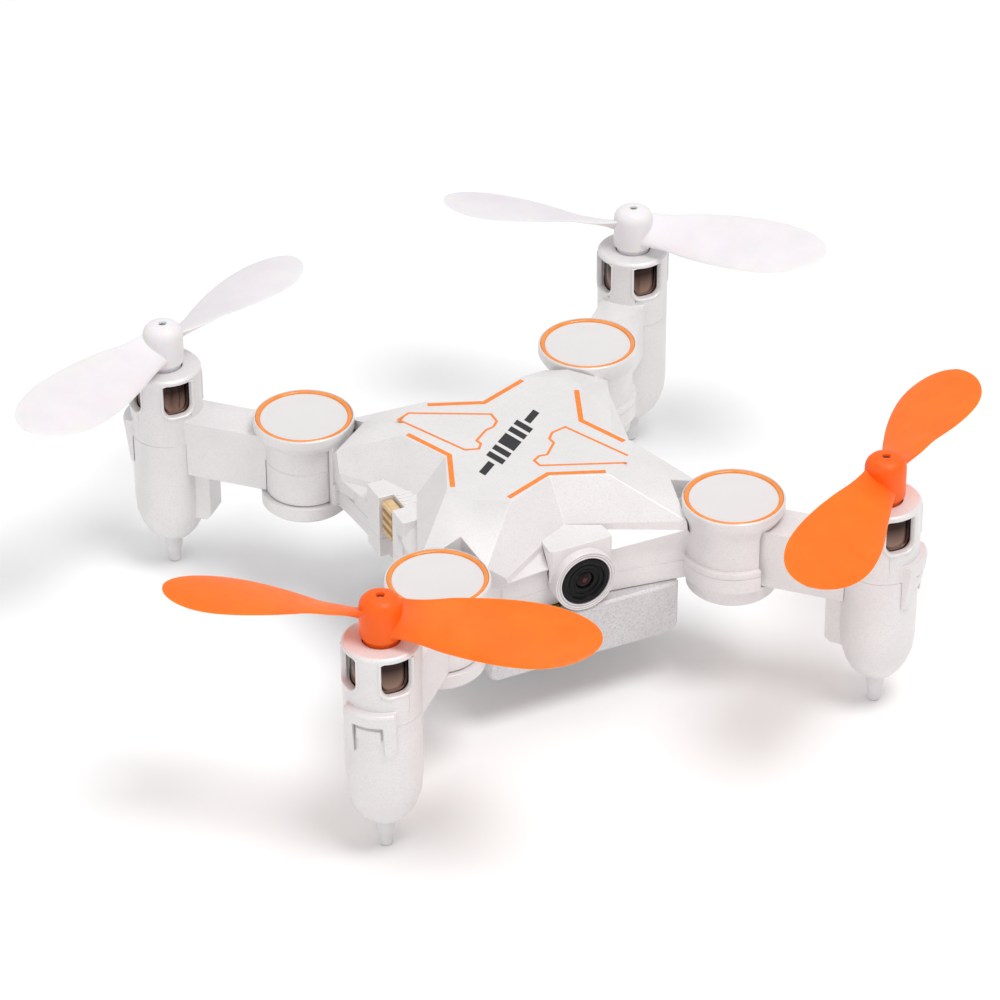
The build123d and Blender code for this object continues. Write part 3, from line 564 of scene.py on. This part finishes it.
for corner in CORNERS:
    can = lathe(f"motor_{corner}", CAN_PROFILE, at_motor(corner), CAN, f"arm_{corner}")
    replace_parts(can, f"motor_can_{corner}")
    pin = lathe(
        f"foot_pin_{corner}", PIN_PROFILE, at_motor(corner), FROSTED, f"arm_{corner}",
        segments=40)
    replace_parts(pin, f"foot_{corner}")


# ---- window surrounds on the motor holders ----
# section of the frame: share of the way from its inner to its outer outline, lift from the holder
SURROUND_SECTION = [
    (1.0, -0.5), (1.0, 0.03), (0.85, 0.12), (0.35, 0.13), (0.12, 0.05), (0.0, -0.1), (0.0, -0.5),
]
WINDOW_OUTER = rectangle(-2.3, 2.3, -1.8, 3.12, (1.5, 1.5, 0.2, 0.2))
WINDOW_INNER = rectangle(-1.93, 1.93, -1.38, 3.02, (1.17, 1.17, 0.1, 0.1))


def window_surround(name, corner, turn):
    """A raised frame that bends round the motor holder."""
    bm = bmesh.new()
    rings = []
    for share, lift in SURROUND_SECTION:
        ring = []
        for outer, inner in zip(WINDOW_OUTER, WINDOW_INNER):
            y, z = inner.lerp(outer, share)
            angle, reach = y / POD_R, POD_R + lift
            ring.append(bm.verts.new((reach * math.cos(angle), reach * math.sin(angle), RING_Z + z)))
        rings.append(ring)
    for one, two in zip(rings, rings[1:] + rings[:1]):
        for k in range(len(one)):
            n = (k + 1) % len(one)
            bm.faces.new((one[k], one[n], two[n], two[k]))
    place = at_motor(corner, turn)
    return finished(name, bm, place, SHELL, f"arm_{corner}", smooth_angle=60)


for corner in CORNERS:
    for k in range(4):
        window_surround(f"window_{corner}_{k}", corner, math.pi / 4 + math.pi / 2 * k)


# ---- propellers ----
BLADE_R = 25.0
BLADE_Z = RING_Z + 6.6
START, BELLY = 0.03, 0.68  # shares of the radius where a blade starts and where its tip curve starts
NECK = 0.08  # share of the radius up to which the root keeps its width
ROOT_WIDTH, BELLY_WIDTH = 4.8, 10.0
THICK, ROOT_THICK, CAMBER = 0.4, 0.5, 0.45
ROOT_REACH, ROOT_TWIST = 0.2, math.radians(20)
ADVANCE = 0.14
HUB_LOW, HUB_HIGH = low("propeller_fl").z, high("propeller_fl").z
HUB_PROFILE = [
    (0, HUB_LOW + 0.1), (2.05, HUB_LOW + 0.1, 0.15), (2.05, HUB_LOW + 0.95, 0.2), (2.45, HUB_LOW + 1.4, 0.3),
    (2.45, HUB_HIGH - 0.3, 1.5), (0.5, HUB_HIGH, 0.15), (0.42, HUB_HIGH - 0.7), (0, HUB_HIGH - 0.7),
]
# direction of one blade in degrees, and hand
PHASES = {"fl": (-38.6, 1), "fr": (39.5, -1), "bl": (27.4, -1), "br": (-42.2, 1)}


def tip_share(t):
    """Round tip: the share of the width that is left beyond the belly."""
    return math.sqrt(max(0.0, 1 - ((t - BELLY) / (1 - BELLY)) ** 2)) if t > BELLY else 1.0


def chord(t):
    """Width of the blade at a share of its radius."""
    rise = math.sin(math.pi / 2 * min(1, max(0, t - NECK) / (BELLY - NECK))) ** 1.4
    body = ROOT_WIDTH + (BELLY_WIDTH - ROOT_WIDTH) * rise
    return body * tip_share(t)


def add_blade(bm, hand, turn):
    """A twisted, cambered blade along +X with a thick root."""
    stations = [START + (BELLY - START) * i / 18 for i in range(18)]
    stations += [BELLY + (1 - BELLY) * math.sin(math.radians(86) * i / 16) for i in range(17)]
    around, rings = 28, []
    for t in stations:
        half = chord(max(t, NECK)) / 2
        root = max(0.0, 1 - (t - START) / ROOT_REACH)
        pitch = hand * (math.atan(ADVANCE / max(t, 0.3)) + ROOT_TWIST * root ** 2)
        thick = THICK * (1 - 0.45 * t) * (0.3 + 0.7 * tip_share(t)) + ROOT_THICK * root ** 2
        tilt = Matrix.Rotation(turn, 3, "Z") @ Matrix.Rotation(pitch, 3, "X")
        ring = []
        for k in range(around):
            a = 2 * math.pi * k / around
            y = half * math.cos(a)
            camber = CAMBER * t * (1 - (math.cos(a) * tip_share(t)) ** 2)
            z = thick * math.sin(a) * (1 - 0.25 * math.cos(a) * hand) + camber
            ring.append(bm.verts.new(tilt @ Vector((BLADE_R * t, y, z)) + Vector((0, 0, BLADE_Z))))
        rings.append(ring)
    for one, two in zip(rings, rings[1:]):
        for k in range(around):
            n = (k + 1) % around
            bm.faces.new((one[k], one[n], two[n], two[k]))
    bm.faces.new(rings[0])
    bm.faces.new(rings[-1][::-1])


def propeller(corner):
    phase, hand = PHASES[corner]
    solids = [bmesh.new() for _ in range(3)]
    add_lathe(solids[0], [tuple(p) for p in rounded(HUB_PROFILE, closed=False)], 64)
    add_blade(solids[1], hand, math.radians(phase))
    add_blade(solids[2], hand, math.radians(phase) + math.pi)
    look, slot = (ORANGE_BLADE, "orange_prop") if corner[0] == "f" else (WHITE_BLADE, "white_prop")
    spot = at(MOTOR[corner].x, MOTOR[corner].y)
    piece = finished(f"prop_{corner}", united(solids), spot, look, f"rotor_{corner}", smooth_angle=50)
    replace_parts(piece, f"propeller_{corner}")


for corner in CORNERS:
    propeller(corner)


# ---- charging plug ----
PLUG_NECK, PLUG_DROP = -15.6, 0.85  # outside the neck the plug stands higher by the drop
PLUG_RIB = 0.5
PLUG_ROUND = (0.1,) * 4


def socket_piece():
    """The end of the battery plug: head, lower tail and four ribs."""
    bm = bmesh.new()
    x0, x1, y0, y1 = SOCKET_LOW.x, SOCKET_HIGH.x, SOCKET_LOW.y, SOCKET_HIGH.y
    z0, z1 = SOCKET_LOW.z, SOCKET_HIGH.z
    add_prism(bm, rectangle(x0 + 0.35, PLUG_NECK, y0, y1, PLUG_ROUND), z0, z1)
    tail = rectangle(PLUG_NECK - 0.2, x1, y0 + 0.01, y1 - 0.01, PLUG_ROUND)
    add_prism(bm, tail, z0 + 0.01, z1 - PLUG_DROP)
    for k in range(4):
        z = z0 + 0.15 + (z1 - z0 - 0.7) * k / 3
        add_prism(bm, rectangle(x0, x0 + PLUG_RIB, y0 + 0.1, y1 - 0.1, PLUG_ROUND), z, z + PLUG_RIB)
    return finished("plug", bm, at(0, 0), BEIGE, "airframe", edge=PLUG_EDGE)


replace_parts(socket_piece(), "charge_socket")

# low ribs on the roof of the notch
PORT_Z = RING_Z - 1.95
RIB_X = (-15.2, -13.35)
RIB_HALF, RIB_ROUND = 0.14, (0.13,) * 4
ribs = bmesh.new()
for y in (-1.1, -0.4, 0.3, 1.0):
    add_prism(ribs, rectangle(*RIB_X, y - RIB_HALF, y + RIB_HALF, RIB_ROUND), PORT_Z - 0.2, PORT_Z + RIB_HALF)
finished("port_ribs", ribs, at(0, 0), SHELL, "airframe", edge=RIB_EDGE)


# ---- screws ----
SCREW_R, HINGE_HEAD_R, SHELL_HEAD_R = 0.6, 1.2, 1.3


def screw_set(name, node, head_r, spots):
    """Pan-head cross screws that point up, at (x, y) spots."""
    z0, z1 = low(node).z, high(node).z
    points = [
        (0, z0 + 0.05), (head_r * 0.55, z0 + 0.05, 0.2), (head_r, z0 + 0.2, 0.12), (head_r, z0 + 0.55, 0.05),
        (SCREW_R, z0 + 0.6, 0.05), (SCREW_R, z1 - 0.4), (0, z1),
    ]
    body, cross = bmesh.new(), bmesh.new()
    add_lathe(body, [tuple(p) for p in rounded(points, closed=False)], 40)
    arm, half = head_r * 0.62, 0.15
    outline = [(arm, half), (half, half), (half, arm), (-half, arm), (-half, half), (-arm, half),
               (-arm, -half), (-half, -half), (-half, -arm), (half, -arm), (half, -half), (arm, -half)]
    add_prism(cross, [Vector(p) for p in outline], z0 - 0.5, z0 + 0.4)
    one = united([body, cross], "DIFFERENCE")
    mesh = bpy.data.meshes.new("screw")
    one.to_mesh(mesh)
    one.free()
    whole = bmesh.new()
    for x, y in spots:
        start = len(whole.verts)
        whole.from_mesh(mesh)
        whole.verts.ensure_lookup_table()
        bmesh.ops.translate(whole, vec=(x, y, 0), verts=whole.verts[start:])
    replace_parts(finished(name, whole, at(0, 0), SHAFT, "airframe"), node)


screw_set("hinge_screw_set", "hinge_screws", HINGE_HEAD_R, [(HINGE[c].x, HINGE[c].y) for c in CORNERS])
SHELL_SCREW = high("shell_screws").x - SHELL_HEAD_R
SIDES = (-SHELL_SCREW, SHELL_SCREW)
screw_set("shell_screw_set", "shell_screws", SHELL_HEAD_R, [(x, y) for x in SIDES for y in SIDES])


# ---- floor, light and camera ----
LIGHT_TARGET = Vector((0, 0, 0.02))
# name, place and size in metres, power in watts
LIGHTS = (
    ("key", (0.12, -0.27, 0.73), 0.35, 3.0),
    ("left fill", (-0.5, -0.25, 0.35), 0.4, 0.42),
    ("top", (0.0, 0.2, 0.8), 0.5, 0.7),
)
WORLD_STRENGTH = 0.6
FLOOR_HALF, FLOOR_DEPTH = 4000, 10.0
CAMERA_PLACE = (-0.19074, -0.39586, 0.31013)
CAMERA_LENS, SENSOR, CLIP_START = 158.1, 36.0, 0.01
CAMERA_RIGHT = (0.9015, -0.4326, -0.0041)
CAMERA_UP = (0.2422, 0.4969, 0.8333)
CAMERA_BACK = (-0.3585, -0.7522, 0.5528)


def panel_light(name, place, size, power):
    """A round lamp aimed at the object."""
    data = bpy.data.lights.new(name, "AREA")
    data.shape, data.size, data.energy = "DISK", size, power
    light = bpy.data.objects.new(name, data)
    light.location = place
    light.rotation_euler = (LIGHT_TARGET - Vector(place)).to_track_quat("-Z", "Y").to_euler()
    bpy.context.scene.collection.objects.link(light)


def studio():
    """Pale floor, soft light and the camera."""
    bm = bmesh.new()
    h = FLOOR_HALF
    add_prism(bm, [(-h, -h), (h, -h), (h, h), (-h, h)], -FLOOR_DEPTH, 0.0)
    bmesh.ops.scale(bm, vec=(MM, MM, MM), verts=bm.verts)
    mesh = bpy.data.meshes.new("floor")
    bm.to_mesh(mesh)
    bm.free()
    pale = moulded("pale floor", (0.97, 0.97, 0.97), (0.96, 0.96, 0.96), 0.7, size=40, grain=0.002)
    mesh.materials.append(pale)
    floor = bpy.data.objects.new("floor", mesh)
    bpy.context.scene.collection.objects.link(floor)

    world = bpy.data.worlds.new("studio")
    bpy.context.scene.world = world
    world.use_nodes = True
    world.node_tree.nodes["Background"].inputs["Color"].default_value = (1, 1, 1, 1)
    world.node_tree.nodes["Background"].inputs["Strength"].default_value = WORLD_STRENGTH
    for light in LIGHTS:
        panel_light(*light)
    view = bpy.context.scene.view_settings
    view.view_transform, view.look = "Standard", "None"

    data = bpy.data.cameras.new("camera")
    data.lens, data.sensor_width, data.clip_start = CAMERA_LENS, SENSOR, CLIP_START
    camera = bpy.data.objects.new("camera", data)
    turn = Matrix((CAMERA_RIGHT, CAMERA_UP, CAMERA_BACK)).transposed().to_4x4()
    camera.matrix_world = Matrix.Translation(CAMERA_PLACE) @ turn
    bpy.context.scene.collection.objects.link(camera)
    bpy.context.scene.camera = camera


studio()
